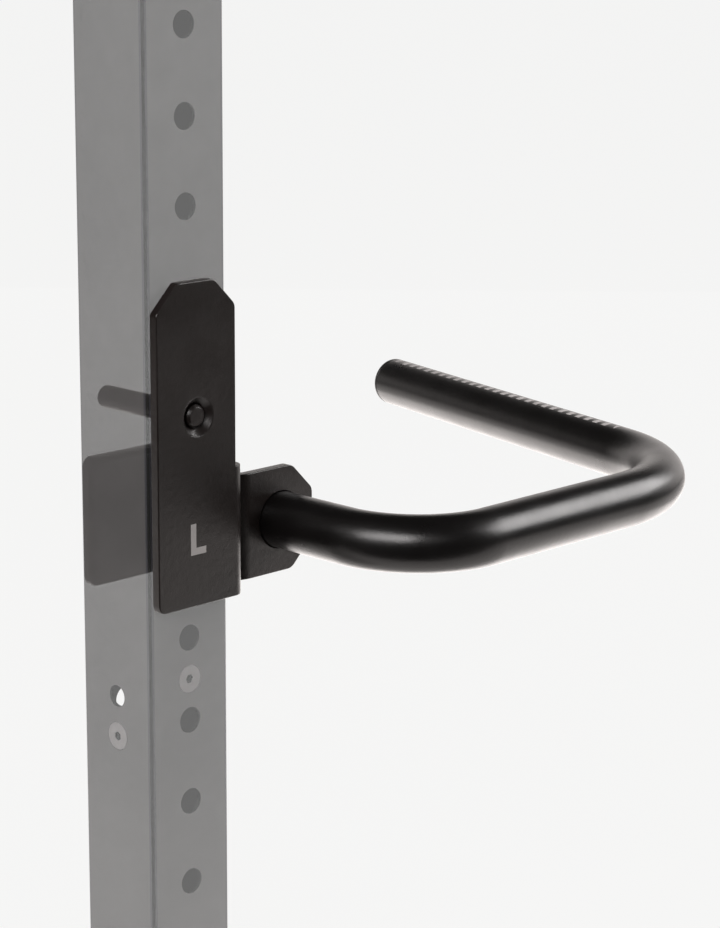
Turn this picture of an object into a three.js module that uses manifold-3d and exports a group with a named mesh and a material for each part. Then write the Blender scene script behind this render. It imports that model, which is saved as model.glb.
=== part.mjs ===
// Left-hand dip handle, hooked and pinned on one square, perforated rack upright.
// Millimetres. +Z is up, +X is the side that the handle reaches to, -Y is the front.
// The origin is the middle of the upright's bottom face.
import * as THREE from "three";
import { mergeVertices } from "three/addons/utils/BufferGeometryUtils.js";
import Module from "manifold-3d";

const wasm = await Module();
wasm.setup();

// ---------------------------------------------------------------- driving dimensions

const GAP = 0.3; // clearance between pieces that touch

// upright
const POST_W = 60;
const POST_WALL = 3;
const POST_CORNER_R = 3;
const POST_LENGTH = 650;
const CAP_HEAD = 3;
const CAP_SPIGOT_CLEAR = 1; // from the spigot's end to the nearest hole
const CAP_RIB = 2.5;

// the upright's adjustment holes, front to back
const HOLE_D = 15.5;
const HOLE_PITCH = 50;
const HOLE_FIRST_Z = 25;

// bolts of the frame that the upright belongs to
const SCREW_HEAD_D = 16.5;
const SCREW_D = 8;
const SCREW_LENGTH = 14;
const SCREW_SOCKET_AF = 5;
const SCREW_SOCKET_DEPTH = 2.6;
const NUT_FLANGE_D = 18;
const NUT_BODY_D = 11.5;
const NUT_LENGTH = 11;
const FRONT_SCREW_AFTER = 3; // the hole that it sits half a pitch above, counted from 0
const SIDE_SCREW_Z = 165;
const SIDE_HOLE_Z = 189.5;
const SIDE_HOLE_D = 13;

// bent plates
const PLATE_T = 6;
const LINER_T = 2.6;
const LINER_INSET = 4; // from the plate's edges to the liner's

// saddle: front plate, side wing and rear wing bent from one plate
const SADDLE_BOTTOM_Z = 246.2;
const SADDLE_BEND_R = 1.5; // inner
const FRONT_PLATE_H = 188;
const FRONT_LEFT_OVERHANG = 0.5; // past the upright's left side
const FRONT_CHAMFER = 16;
const FRONT_CORNER_R = 5;
const WING_H = 77.6;
const REAR_WING_INSET = 9.2; // from the upright's left side
const REAR_CORNER_R = 6;

// locating pin, on which the handle swings
const PIN_PLAY = 2; // between the pin and the upright's hole, across
const PIN_TO_WING = 33;
const PIN_TIP = 12.4; // length behind the upright
const PIN_CHAMFER = 1.55;
const PIN_RECESS = 1;
const PIN_SINK = 3.95; // width of the countersink around the pin's hole
const PIN_WELD = 2;

// bracket: flange for the tube, and a leg welded to the saddle's side wing
const BRACKET_H = 64;
const BRACKET_RISE = 2.6; // from the saddle's bottom edge
const BRACKET_BEND_R = 11; // inner
const BRACKET_SETBACK = 6.7; // of the flange's face from the side wing's front bend
const FLANGE_MARGIN = 9; // from the tube's hole to the flange's free edge
const FLANGE_CHAMFER = 17;
const FLANGE_CORNER_R = 7;
const LEG_INSET = 11.7; // of the leg's end from the side wing's rear bend
const LEG_WELD = 4;

// handle tube
const TUBE_D = 34;
const TUBE_WALL = 3;
const TUBE_MARGIN = 7.1; // from the flange's bend to the tube's hole
const TUBE_STICKOUT = 3; // length behind the flange
const TUBE_WELD = 3.2;
const STUB_LENGTH = 56;
const BEND_1_R = 57;
const BEND_1_ANGLE = 90;
const RUN_LENGTH = 125;
const BEND_2_R = 105;
const BEND_2_ANGLE = 76.3;
const GRIP_LENGTH = 284; // from the second bend to the cap's face
const END_CAP_HEAD = 2.5;
const END_CAP_SPIGOT = 14;
const END_CAP_ROUND = 1;

// facets
const ROUND = 24;
const SMALL_ROUND = 20;
const TUBE_STEPS = 50;

// ---------------------------------------------------------------- what follows from them

const halfPost = POST_W / 2;
const postBore = POST_W - 2 * POST_WALL;
const holeZ = (n) => HOLE_FIRST_Z + n * HOLE_PITCH;
const holeCount = Math.floor((POST_LENGTH - 2 * HOLE_FIRST_Z) / HOLE_PITCH) + 1;
const capLength = HOLE_FIRST_Z - HOLE_D / 2 - CAP_SPIGOT_CLEAR;

const plateInner = halfPost + GAP + LINER_T + GAP;
const plateOuter = plateInner + PLATE_T;
const sideInner = halfPost + GAP;
const sideOuter = sideInner + PLATE_T;
const saddleBendOuterR = SADDLE_BEND_R + PLATE_T;
const bendX = sideOuter - saddleBendOuterR;
const bendY = plateOuter - saddleBendOuterR;
const wingTopZ = SADDLE_BOTTOM_Z + WING_H;
const frontTopZ = SADDLE_BOTTOM_Z + FRONT_PLATE_H;
const pinZ = wingTopZ + PIN_TO_WING;
const pinR = (HOLE_D - PIN_PLAY) / 2;
const frontLeft = -halfPost - FRONT_LEFT_OVERHANG;
const rearLeft = -halfPost + REAR_WING_INSET;
const frontScrewZ = holeZ(FRONT_SCREW_AFTER) + HOLE_PITCH / 2;

const legInner = sideOuter + GAP;
const legOuter = legInner + PLATE_T;
const bracketBendOuterR = BRACKET_BEND_R + PLATE_T;
const legEndY = bendY - LEG_INSET;
const bracketFrontY = -bendY + BRACKET_SETBACK;
const flangeBackY = bracketFrontY + PLATE_T;
const bracketBottomZ = SADDLE_BOTTOM_Z + BRACKET_RISE;
const bracketTopZ = bracketBottomZ + BRACKET_H;
const tubeR = TUBE_D / 2;
const tubeHoleR = tubeR + GAP;
const tubeX = legInner + bracketBendOuterR + TUBE_MARGIN + tubeHoleR;
const tubeZ = bracketBottomZ + BRACKET_H / 2;
const flangeEndX = tubeX + tubeHoleR + FLANGE_MARGIN;

// ---------------------------------------------------------------- materials

const paint = (color, roughness, metalness) => new THREE.MeshStandardMaterial({ color, roughness, metalness });
const uprightPaint = paint(0x858381, 0.6, 0.1);
const powderCoat = paint(0x2b2828, 0.55, 0.2);
const tubeCoat = paint(0x191717, 0.4, 0.3);
const zincSteel = paint(0x939190, 0.4, 0.8);
const blackPlastic = paint(0x1c1c1d, 0.6, 0);
const linerPlastic = paint(0x232324, 0.7, 0);
const weldMetal = paint(0x242222, 0.5, 0.2);

// ---------------------------------------------------------------- helpers

// A closed geometry as a manifold-3d solid.
function solid(geometry) {
  const bare = geometry.index ? geometry.toNonIndexed() : geometry.clone();
  bare.deleteAttribute("normal");
  bare.deleteAttribute("uv");
  const merged = mergeVertices(bare, 1e-3);
  return new wasm.Manifold(
    new wasm.Mesh({
      numProp: 3,
      vertProperties: merged.attributes.position.array,
      triVerts: new Uint32Array(merged.index.array),
    }),
  );
}

// A manifold-3d solid as a geometry.
function geometryOf(made) {
  const mesh = made.getMesh();
  const geometry = new THREE.BufferGeometry();
  geometry.setAttribute("position", new THREE.BufferAttribute(mesh.vertProperties, 3));
  geometry.setIndex(new THREE.BufferAttribute(mesh.triVerts, 1));
  geometry.computeVertexNormals();
  return geometry;
}

function cutAll(body, tools) {
  return tools.reduce((left, tool) => left.subtract(solid(tool)), solid(body));
}

// An outline through corners [x, y, fillet radius], in order.
function outline(corners) {
  const shape = new THREE.Shape();
  corners.forEach(([x, y, radius], i) => {
    const here = new THREE.Vector2(x, y);
    const before = new THREE.Vector2(...corners.at(i - 1).slice(0, 2));
    const after = new THREE.Vector2(...corners[(i + 1) % corners.length].slice(0, 2));
    const back = before.sub(here).normalize();
    const ahead = after.sub(here).normalize();
    if (!radius) {
      if (i) shape.lineTo(x, y);
      else shape.moveTo(x, y);
      return;
    }
    const halfAngle = back.angleTo(ahead) / 2;
    const reach = radius / Math.tan(halfAngle);
    const first = back.clone().multiplyScalar(reach).add(here);
    const middle = back.clone().add(ahead).normalize();
    const centre = middle.multiplyScalar(radius / Math.sin(halfAngle)).add(here);
    const last = ahead.clone().multiplyScalar(reach).add(here);
    const from = Math.atan2(first.y - centre.y, first.x - centre.x);
    const to = Math.atan2(last.y - centre.y, last.x - centre.x);
    const clockwise = back.cross(ahead) > 0;
    if (i) shape.lineTo(first.x, first.y);
    else shape.moveTo(first.x, first.y);
    shape.absarc(centre.x, centre.y, radius, from, to, clockwise);
  });
  shape.closePath();
  return shape;
}

function rectangle(x0, y0, x1, y1, radius = 0) {
  return outline([
    [x0, y0, radius],
    [x1, y0, radius],
    [x1, y1, radius],
    [x0, y1, radius],
  ]);
}

// A plan outline (x, y) raised from z0 to z1.
function raise(shape, z0, z1, curveSegments = 5) {
  const geometry = new THREE.ExtrudeGeometry(shape, {
    depth: z1 - z0,
    bevelEnabled: false,
    curveSegments,
  });
  return geometry.translate(0, 0, z0);
}

// A front outline (x, z) made as thick as y0 to y1.
function thicken(shape, y0, y1, curveSegments = 5) {
  const geometry = new THREE.ExtrudeGeometry(shape, {
    depth: y1 - y0,
    bevelEnabled: false,
    curveSegments,
  });
  return geometry.rotateX(Math.PI / 2).translate(0, y1, 0);
}

// A rod along Y.
function rodY(diameter, y0, y1, x, z, sides = SMALL_ROUND) {
  const geometry = new THREE.CylinderGeometry(diameter / 2, diameter / 2, y1 - y0, sides);
  return geometry.translate(x, (y0 + y1) / 2, z);
}

// A rod along X.
function rodX(diameter, x0, x1, y, z, sides = SMALL_ROUND) {
  const geometry = new THREE.CylinderGeometry(diameter / 2, diameter / 2, x1 - x0, sides);
  return geometry.rotateZ(Math.PI / 2).translate((x0 + x1) / 2, y, z);
}

// A solid of revolution about Y, from [radius, y] points.
function turn(profile, sides = SMALL_ROUND) {
  const points = profile.map(([radius, y]) => new THREE.Vector2(radius, y));
  return new THREE.LatheGeometry(points, sides);
}

// A ring of revolution about Y, whose profile closes on itself.
function ring(profile, sides = SMALL_ROUND) {
  return turn([...profile, profile[0]], sides);
}

// ---------------------------------------------------------------- upright

function uprightTube() {
  const z0 = CAP_HEAD + GAP;
  const z1 = POST_LENGTH - CAP_HEAD - GAP;
  const section = rectangle(-halfPost, -halfPost, halfPost, halfPost, POST_CORNER_R);
  const boreHalf = postBore / 2;
  section.holes.push(rectangle(-boreHalf, -boreHalf, boreHalf, boreHalf, GAP));
  const past = halfPost + 1;
  const cuts = adjustmentHoles().map((z) => rodY(HOLE_D, -past, past, 0, z));
  cuts.push(rodX(SIDE_HOLE_D, -past, past, 0, SIDE_HOLE_Z));
  cuts.push(screwSeat().translate(0, -halfPost, frontScrewZ));
  cuts.push(screwSeat().rotateZ(-Math.PI / 2).translate(-halfPost, 0, SIDE_SCREW_Z));
  return geometryOf(cutAll(raise(section, z0, z1, 3), cuts));
}

// Heights of the holes. The pin's own hole takes the place of those that it would crowd.
function adjustmentHoles() {
  const heights = Array.from({ length: holeCount }, (_, n) => holeZ(n));
  const kept = heights.filter((z) => Math.abs(z - pinZ) > HOLE_PITCH);
  return [...kept, pinZ];
}

// The countersunk hole under a screw head, its mouth at y = 0.
function screwSeat() {
  const mouth = SCREW_HEAD_D / 2 + GAP;
  return turn([
    [0, -1],
    [mouth, -1],
    [mouth, 0],
    [mouth - POST_WALL - 1, POST_WALL + 1],
    [0, POST_WALL + 1],
  ]);
}

// A plastic plug for one end of the upright, its face at z = 0 and its spigot up.
function postCap() {
  const head = raise(rectangle(-halfPost, -halfPost, halfPost, halfPost, POST_CORNER_R), 0, CAP_HEAD, 3);
  const outer = postBore / 2 - GAP;
  const inner = outer - CAP_RIB;
  const wall = rectangle(-outer, -outer, outer, outer);
  wall.holes.push(rectangle(-inner, -inner, inner, inner));
  return solid(head).add(solid(raise(wall, CAP_HEAD - 1, capLength)));
}

// A countersunk screw, its head's face at y = 0 and its shank along +Y.
function frameScrew() {
  const headR = SCREW_HEAD_D / 2;
  const shankR = SCREW_D / 2;
  const body = turn([
    [0, 0],
    [headR - 0.3, 0],
    [headR, 0.3],
    [shankR, headR - shankR + 0.3],
    [shankR, SCREW_LENGTH - 1],
    [shankR - 1, SCREW_LENGTH],
    [0, SCREW_LENGTH],
  ]);
  const socketR = SCREW_SOCKET_AF / Math.sqrt(3);
  const socket = new THREE.CylinderGeometry(socketR, socketR, SCREW_SOCKET_DEPTH + 1, 6);
  return geometryOf(cutAll(body, [socket.translate(0, (SCREW_SOCKET_DEPTH - 1) / 2, 0)]));
}

// The blind nut behind the upright's wall, for a screw whose head's face is at y = 0.
function frameNut() {
  const top = POST_WALL + GAP;
  const shankR = SCREW_D / 2 + GAP;
  const mouth = SCREW_HEAD_D / 2 + GAP - top + GAP;
  return ring([
    [mouth, top],
    [shankR, top + mouth - shankR],
    [shankR, top + NUT_LENGTH],
    [NUT_BODY_D / 2, top + NUT_LENGTH],
    [NUT_BODY_D / 2, top + 1.5],
    [NUT_FLANGE_D / 2, top + 1.5],
    [NUT_FLANGE_D / 2, top],
  ].reverse());
}

// ---------------------------------------------------------------- saddle

// The plan of the plate that wraps the upright's front, side and back.
function saddlePlan() {
  const start = bendX - 1;
  const quarter = Math.PI / 2;
  const shape = new THREE.Shape();
  shape.moveTo(start, -plateOuter);
  shape.lineTo(bendX, -plateOuter);
  shape.absarc(bendX, -bendY, saddleBendOuterR, -quarter, 0, false);
  shape.lineTo(sideOuter, bendY);
  shape.absarc(bendX, bendY, saddleBendOuterR, 0, quarter, false);
  shape.lineTo(rearLeft, plateOuter);
  shape.lineTo(rearLeft, plateInner);
  shape.lineTo(bendX, plateInner);
  shape.absarc(bendX, bendY, SADDLE_BEND_R, quarter, 0, true);
  shape.lineTo(sideInner, -bendY);
  shape.absarc(bendX, -bendY, SADDLE_BEND_R, 0, -quarter, true);
  shape.lineTo(start, -plateInner);
  shape.closePath();
  return shape;
}

// The front plate's outline, up to where the side wing's bend begins.
function frontOutline() {
  return outline([
    [frontLeft, SADDLE_BOTTOM_Z, FRONT_CORNER_R],
    [bendX, SADDLE_BOTTOM_Z, 0],
    [bendX, frontTopZ - FRONT_CHAMFER, FRONT_CORNER_R],
    [bendX - FRONT_CHAMFER, frontTopZ, FRONT_CORNER_R],
    [frontLeft + FRONT_CHAMFER, frontTopZ, FRONT_CORNER_R],
    [frontLeft, frontTopZ - FRONT_CHAMFER, FRONT_CORNER_R],
  ]);
}

// What rounds the rear wing's free corner at height z; up is 1 at the top and -1 at the bottom.
function rearCornerCut(z, up) {
  const x = rearLeft;
  const quarter = Math.PI / 2;
  const centreX = x + REAR_CORNER_R;
  const centreZ = z - up * REAR_CORNER_R;
  const shape = new THREE.Shape();
  shape.moveTo(x, centreZ);
  shape.lineTo(x - 1, centreZ);
  shape.lineTo(x - 1, z + up);
  shape.lineTo(centreX, z + up);
  shape.lineTo(centreX, z);
  shape.absarc(centreX, centreZ, REAR_CORNER_R, up * quarter, Math.PI, up < 0);
  return thicken(shape, plateInner - 1, plateOuter + 1);
}

function saddlePlate() {
  const wrap = solid(raise(saddlePlan(), SADDLE_BOTTOM_Z, wingTopZ));
  const front = solid(thicken(frontOutline(), -plateOuter, -plateInner));
  const holeR = pinR + GAP;
  const sinkR = holeR + PIN_SINK;
  const pinHole = turn([
    [0, -plateOuter - 1],
    [sinkR + 1, -plateOuter - 1],
    [holeR, -plateOuter + sinkR - holeR],
    [holeR, -plateInner + 1],
    [0, -plateInner + 1],
  ], ROUND).translate(0, 0, pinZ);
  const cuts = [pinHole, rearCornerCut(wingTopZ, 1), rearCornerCut(SADDLE_BOTTOM_Z, -1)];
  const cut = cuts.reduce((left, tool) => left.subtract(solid(tool)), wrap.add(front));
  return geometryOf(cut);
}

// The pin, its chamfered front end sunk a little behind the plate's face.
function locatingPin() {
  const front = -plateOuter + PIN_RECESS;
  const back = halfPost + PIN_TIP;
  return turn([
    [0, front],
    [pinR - PIN_CHAMFER, front],
    [pinR, front + PIN_CHAMFER],
    [pinR, back - PIN_CHAMFER],
    [pinR - PIN_CHAMFER, back],
    [0, back],
  ], ROUND).translate(0, 0, pinZ);
}

// The weld around the pin, behind the front plate.
function pinWeld() {
  const face = -plateInner + GAP;
  const inner = pinR + GAP;
  return ring([
    [inner, face],
    [inner + PIN_WELD, face],
    [inner + PIN_WELD * 0.6, face + PIN_WELD * 0.75],
    [inner, face + PIN_WELD],
  ], ROUND).translate(0, 0, pinZ);
}

// ---------------------------------------------------------------- wear liners

function frontLiner() {
  const face = -halfPost - GAP;
  const clear = 2 * pinR + 2 * (PIN_WELD + 2 * GAP) + 2;
  const left = frontLeft + LINER_INSET;
  const right = bendX - LINER_INSET;
  const top = frontTopZ - LINER_INSET;
  const shape = outline([
    [left, SADDLE_BOTTOM_Z + LINER_INSET, FRONT_CORNER_R],
    [right, SADDLE_BOTTOM_Z + LINER_INSET, 0],
    [right, top - FRONT_CHAMFER, FRONT_CORNER_R],
    [right - FRONT_CHAMFER, top, FRONT_CORNER_R],
    [left + FRONT_CHAMFER, top, FRONT_CORNER_R],
    [left, top - FRONT_CHAMFER, FRONT_CORNER_R],
  ]);
  const sheet = thicken(shape, face - LINER_T, face);
  return geometryOf(cutAll(sheet, [rodY(clear, face - LINER_T - 1, face + 1, 0, pinZ, ROUND)]));
}

function rearLiner() {
  const left = rearLeft + LINER_INSET;
  const shape = rectangle(left, SADDLE_BOTTOM_Z + LINER_INSET, bendX - GAP, wingTopZ - LINER_INSET, 3);
  return thicken(shape, halfPost + GAP, halfPost + GAP + LINER_T, 3);
}

// ---------------------------------------------------------------- tube bracket

function bracketPlan() {
  const centreX = legInner + bracketBendOuterR;
  const centreY = bracketFrontY + bracketBendOuterR;
  const quarter = Math.PI / 2;
  const shape = new THREE.Shape();
  shape.moveTo(flangeEndX, bracketFrontY);
  shape.lineTo(flangeEndX, flangeBackY);
  shape.lineTo(centreX, flangeBackY);
  shape.absarc(centreX, centreY, BRACKET_BEND_R, -quarter, -Math.PI, true);
  shape.lineTo(legOuter, legEndY);
  shape.lineTo(legInner, legEndY);
  shape.lineTo(legInner, centreY);
  shape.absarc(centreX, centreY, bracketBendOuterR, Math.PI, -quarter, false);
  shape.closePath();
  return shape;
}

function tubeBracket() {
  const bent = solid(raise(bracketPlan(), bracketBottomZ, bracketTopZ));
  const face = outline([
    [legInner - 1, bracketBottomZ, 0],
    [flangeEndX - FLANGE_CHAMFER, bracketBottomZ, FLANGE_CORNER_R],
    [flangeEndX, bracketBottomZ + FLANGE_CHAMFER, FLANGE_CORNER_R],
    [flangeEndX, bracketTopZ - FLANGE_CHAMFER, FLANGE_CORNER_R],
    [flangeEndX - FLANGE_CHAMFER, bracketTopZ, FLANGE_CORNER_R],
    [legInner - 1, bracketTopZ, 0],
  ]);
  const kept = bent.intersect(solid(thicken(face, bracketFrontY - 1, legEndY + 1)));
  const bore = rodY(2 * tubeHoleR, bracketFrontY - 1, flangeBackY + 1, tubeX, tubeZ, ROUND);
  return geometryOf(kept.subtract(solid(bore)));
}

// A fillet weld along the leg's top or bottom edge; up is 1 at the top and -1 at the bottom.
function legEdgeWeld(up, size) {
  const edge = (up > 0 ? bracketTopZ : bracketBottomZ) + up * GAP;
  const crown = size * 0.62;
  const shape = new THREE.Shape();
  shape.moveTo(legInner, edge);
  shape.lineTo(legInner + size, edge);
  shape.lineTo(legInner + crown, edge + up * crown);
  shape.lineTo(legInner, edge + up * size);
  shape.closePath();
  const front = bracketFrontY + bracketBendOuterR;
  return thicken(shape, front, legEndY - 1);
}

function legEndWeld() {
  const end = legEndY + GAP;
  const crown = LEG_WELD * 0.62;
  const shape = new THREE.Shape();
  shape.moveTo(legInner, end);
  shape.lineTo(legInner + LEG_WELD, end);
  shape.lineTo(legInner + crown, end + crown);
  shape.lineTo(legInner, end + LEG_WELD);
  shape.closePath();
  return raise(shape, bracketBottomZ + 1, bracketTopZ - 1);
}

// ---------------------------------------------------------------- handle tube

// The tube's centre line, in the level plane of the handle.
function handlePath() {
  const path = new THREE.CurvePath();
  let point = new THREE.Vector3(tubeX, flangeBackY + TUBE_STICKOUT, tubeZ);
  let heading = -Math.PI / 2;
  const ahead = () => new THREE.Vector3(Math.cos(heading), Math.sin(heading), 0);
  const straight = (length) => {
    const end = point.clone().addScaledVector(ahead(), length);
    path.add(new THREE.LineCurve3(point, end));
    point = end;
  };
  const bend = (radius, degrees) => {
    const left = new THREE.Vector3(-Math.sin(heading), Math.cos(heading), 0);
    const centre = point.clone().addScaledVector(left, radius);
    const from = heading - Math.PI / 2;
    const turned = THREE.MathUtils.degToRad(degrees);
    path.add(new ArcCurve(centre, radius, from, turned));
    heading += turned;
    point = path.curves.at(-1).getPoint(1);
  };
  straight(flangeBackY + TUBE_STICKOUT - bracketFrontY + STUB_LENGTH);
  bend(BEND_1_R, BEND_1_ANGLE);
  straight(RUN_LENGTH);
  bend(BEND_2_R, BEND_2_ANGLE);
  straight(GRIP_LENGTH - END_CAP_HEAD - GAP);
  return path;
}

// A level arc about a centre, from one angle through another.
class ArcCurve extends THREE.Curve {
  constructor(centre, radius, from, turned) {
    super();
    Object.assign(this, { centre, radius, from, turned });
  }

  getPoint(t, target = new THREE.Vector3()) {
    const angle = this.from + this.turned * t;
    target.set(Math.cos(angle), Math.sin(angle), 0).multiplyScalar(this.radius);
    return target.add(this.centre);
  }
}

function circle(radius) {
  const shape = new THREE.Shape();
  shape.absarc(0, 0, radius, 0, 2 * Math.PI, false);
  return shape;
}

function handleTube() {
  const section = circle(tubeR);
  section.holes.push(circle(tubeR - TUBE_WALL));
  return new THREE.ExtrudeGeometry(section, {
    extrudePath: handlePath(),
    steps: TUBE_STEPS,
    curveSegments: ROUND / 2,
    bevelEnabled: false,
  });
}

// The plug in the grip's free end, its face at y = 0 and its spigot along -Y.
function endCap() {
  const spigotR = tubeR - TUBE_WALL - GAP;
  return turn([
    [0, -END_CAP_HEAD - END_CAP_SPIGOT],
    [spigotR - 1, -END_CAP_HEAD - END_CAP_SPIGOT],
    [spigotR, -END_CAP_HEAD - END_CAP_SPIGOT + 1],
    [spigotR, -END_CAP_HEAD],
    [tubeR, -END_CAP_HEAD],
    [tubeR, -END_CAP_ROUND],
    [tubeR - END_CAP_ROUND, 0],
    [0, 0],
  ], ROUND);
}

// The weld around the tube's end, behind the flange.
function tubeWeld() {
  const face = flangeBackY + GAP;
  const inner = tubeR + GAP;
  return ring([
    [inner, face],
    [inner + TUBE_WELD, face],
    [inner + TUBE_WELD * 0.6, face + TUBE_WELD * 0.6],
    [inner, face + TUBE_WELD * 0.8],
  ], ROUND).translate(tubeX, 0, tubeZ);
}

// ---------------------------------------------------------------- the part

function piece(parent, name, geometry, material) {
  const mesh = new THREE.Mesh(geometry, material);
  mesh.name = name;
  parent.add(mesh);
  return mesh;
}

const upright = new THREE.Group();
piece(upright, "upright_tube", uprightTube(), uprightPaint);
piece(upright, "bottom_cap", geometryOf(postCap()), blackPlastic);
const topCap = piece(upright, "top_cap", geometryOf(postCap()), blackPlastic);
topCap.rotation.x = Math.PI;
topCap.position.z = POST_LENGTH;
for (const [side, place, turned] of [
  ["front", [0, -halfPost, frontScrewZ], 0],
  ["side", [-halfPost, 0, SIDE_SCREW_Z], -Math.PI / 2],
]) {
  const bolting = new THREE.Group();
  bolting.position.set(...place);
  bolting.rotation.z = turned;
  piece(bolting, `${side}_screw`, frameScrew(), zincSteel);
  piece(bolting, `${side}_blind_nut`, frameNut(), zincSteel);
  upright.add(bolting);
}

const handle = new THREE.Group();
piece(handle, "saddle_plate", saddlePlate(), powderCoat);
piece(handle, "locating_pin", locatingPin(), powderCoat);
piece(handle, "pin_weld", pinWeld(), weldMetal);
piece(handle, "front_liner", frontLiner(), linerPlastic);
piece(handle, "rear_liner", rearLiner(), linerPlastic);
piece(handle, "tube_bracket", tubeBracket(), powderCoat);
piece(handle, "leg_top_weld", legEdgeWeld(1, LEG_WELD), weldMetal);
piece(handle, "leg_bottom_weld", legEdgeWeld(-1, LEG_WELD / 2), weldMetal);
piece(handle, "leg_end_weld", legEndWeld(), weldMetal);
piece(handle, "handle_tube", handleTube(), tubeCoat);
piece(handle, "tube_weld", tubeWeld(), weldMetal);
const cap = piece(handle, "handle_end_cap", endCap(), blackPlastic);
const grip = handlePath().curves.at(-1);
const along = grip.v2.clone().sub(grip.v1).normalize();
cap.position.copy(grip.v2).addScaledVector(along, END_CAP_HEAD + GAP);
cap.rotation.z = Math.atan2(along.y, along.x) - Math.PI / 2;

const part = new THREE.Group();
part.add(upright, handle);

export default part;
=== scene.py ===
"""Looks of the dip handle on its rack upright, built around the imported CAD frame. Metres, +Z up."""
import math

import bmesh
import bpy
from mathutils import Matrix, Vector


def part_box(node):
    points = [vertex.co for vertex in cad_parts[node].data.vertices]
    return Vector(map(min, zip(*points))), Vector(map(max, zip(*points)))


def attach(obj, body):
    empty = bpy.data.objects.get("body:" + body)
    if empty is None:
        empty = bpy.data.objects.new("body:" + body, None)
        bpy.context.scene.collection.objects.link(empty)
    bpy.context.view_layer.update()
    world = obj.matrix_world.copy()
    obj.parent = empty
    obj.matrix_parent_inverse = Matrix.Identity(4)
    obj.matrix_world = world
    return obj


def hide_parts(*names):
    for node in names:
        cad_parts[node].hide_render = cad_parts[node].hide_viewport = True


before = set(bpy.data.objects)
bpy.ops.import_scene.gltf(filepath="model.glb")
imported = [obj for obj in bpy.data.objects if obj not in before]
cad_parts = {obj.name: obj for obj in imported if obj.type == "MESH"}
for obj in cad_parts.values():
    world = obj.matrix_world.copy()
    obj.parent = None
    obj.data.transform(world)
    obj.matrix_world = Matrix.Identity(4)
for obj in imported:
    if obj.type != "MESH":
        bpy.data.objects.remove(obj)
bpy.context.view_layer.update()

MM = 0.001

# ------------------------------------------------------------------ sizes read from the CAD frame

POST_LO, POST_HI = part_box("upright_tube")
CAP_LO, CAP_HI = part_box("bottom_cap")
TOP_LO, TOP_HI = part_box("top_cap")
SADDLE_LO, SADDLE_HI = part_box("saddle_plate")
BRACKET_LO, BRACKET_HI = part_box("tube_bracket")
PIN_LO, PIN_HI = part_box("locating_pin")
TUBE_LO, TUBE_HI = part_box("handle_tube")
FRONT_SCREW_LO, FRONT_SCREW_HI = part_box("front_screw")
SIDE_SCREW_LO, SIDE_SCREW_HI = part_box("side_screw")
FRONT_NUT_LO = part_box("front_blind_nut")[0]
SIDE_NUT_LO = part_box("side_blind_nut")[0]
FRONT_LINER_LO, FRONT_LINER_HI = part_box("front_liner")
REAR_LINER_LO, REAR_LINER_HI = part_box("rear_liner")
PIN_WELD_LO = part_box("pin_weld")[0]
TUBE_WELD_LO, TUBE_WELD_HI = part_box("tube_weld")

HALF_POST = POST_HI.x
POST_WALL = 3 * MM
POST_CORNER_R = 3 * MM
POST_FLAT = HALF_POST - POST_CORNER_R  # half of a wall's flat part
PLATE_T = 6 * MM
SADDLE_BEND_R = 7.5 * MM  # outer
BRACKET_BEND_R = 17 * MM  # outer
PIN_Z = (PIN_LO.z + PIN_HI.z) / 2
PIN_R = (PIN_HI.x - PIN_LO.x) / 2
TUBE_Z = (TUBE_LO.z + TUBE_HI.z) / 2
TUBE_R = (TUBE_HI.z - TUBE_LO.z) / 2
TUBE_X = (TUBE_WELD_LO.x + TUBE_WELD_HI.x) / 2
WING_H = 77.6 * MM
WING_TOP = SADDLE_LO.z + WING_H
HOLE_R = 7.75 * MM
HOLE_PITCH = 50 * MM
HOLE_COUNT = 13
HOLE_FIRST_Z = 25 * MM
SIDE_HOLE_R = 6.5 * MM
SIDE_HOLE_Z = 189.5 * MM

# ------------------------------------------------------------------ mesh helpers


def link(name, mesh, material, body, nodes=(), angle=38.0):
    """Makes mesh an object of the part that rides on a body, with soft edges below an angle."""
    mesh.name = name
    mesh.materials.clear()
    mesh.materials.append(material)
    mesh.shade_smooth()
    mesh.set_sharp_from_angle(angle=math.radians(angle))
    obj = bpy.data.objects.new(name, mesh)
    bpy.context.scene.collection.objects.link(obj)
    weighted = obj.modifiers.new("even_normals", "WEIGHTED_NORMAL")
    weighted.keep_sharp = True
    weighted.weight = 80
    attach(obj, body)
    if nodes:
        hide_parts(*nodes)
    return obj


def from_lists(points, faces):
    mesh = bpy.data.meshes.new("made")
    mesh.from_pydata([tuple(p) for p in points], [], faces)
    mesh.update()
    work = bmesh.new()
    work.from_mesh(mesh)
    bmesh.ops.remove_doubles(work, verts=work.verts, dist=1e-7)
    bmesh.ops.recalc_face_normals(work, faces=work.faces)
    work.to_mesh(mesh)
    work.free()
    return mesh


def joined(meshes):
    """One mesh of several."""
    work = bmesh.new()
    for mesh in meshes:
        work.from_mesh(mesh)
    made = bpy.data.meshes.new("joined")
    work.to_mesh(made)
    work.free()
    return made


def moved(mesh, matrix):
    mesh.transform(matrix)
    if matrix.determinant() < 0:
        mesh.flip_normals()
    return mesh


def arc(centre, radius, start, end, count):
    """Points on an arc in a plane, angles in degrees."""
    steps = (math.radians(start + (end - start) * i / count) for i in range(count + 1))
    return [(centre[0] + radius * math.cos(a), centre[1] + radius * math.sin(a)) for a in steps]


def circle(x, y, radius, count=72):
    return arc((x, y), radius, 0, 360, count)[:-1]


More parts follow.
